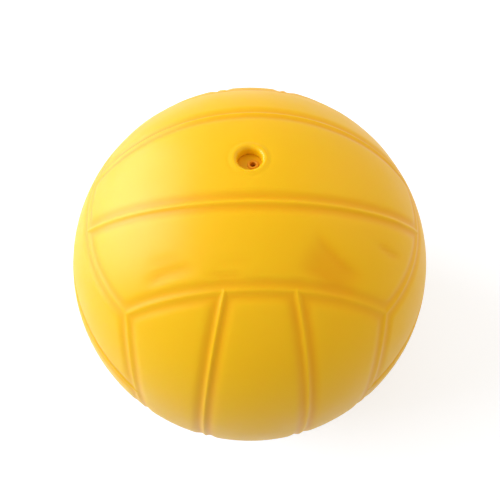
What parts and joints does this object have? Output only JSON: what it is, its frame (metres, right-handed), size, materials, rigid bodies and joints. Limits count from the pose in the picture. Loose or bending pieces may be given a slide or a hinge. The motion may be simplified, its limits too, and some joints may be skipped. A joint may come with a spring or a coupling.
{
  "type": "water polo ball",
  "caption": "Small inflatable water polo ball in moulded vinyl, with volleyball-type panel grooves, beaded seams and a recessed self-sealing needle valve.",
  "frame": {"origin": "centre of the ball", "axes": "+Z out through the valve along its axis, +X to the right in the picture, -Y towards the side that the valve is seen from"},
  "size_m": [0.1524, 0.1524, 0.1522],
  "materials": {
    "moulded_vinyl": "satin-gloss rotationally moulded vinyl",
    "valve_vinyl": "soft injection-moulded vinyl",
    "valve_rubber": "soft self-sealing rubber"
  },
  "bodies": {
    "root": {"ball_skin": "moulded_vinyl", "valve_housing": "valve_vinyl", "valve_core": "valve_rubber"}
  },
  "joints": []
}
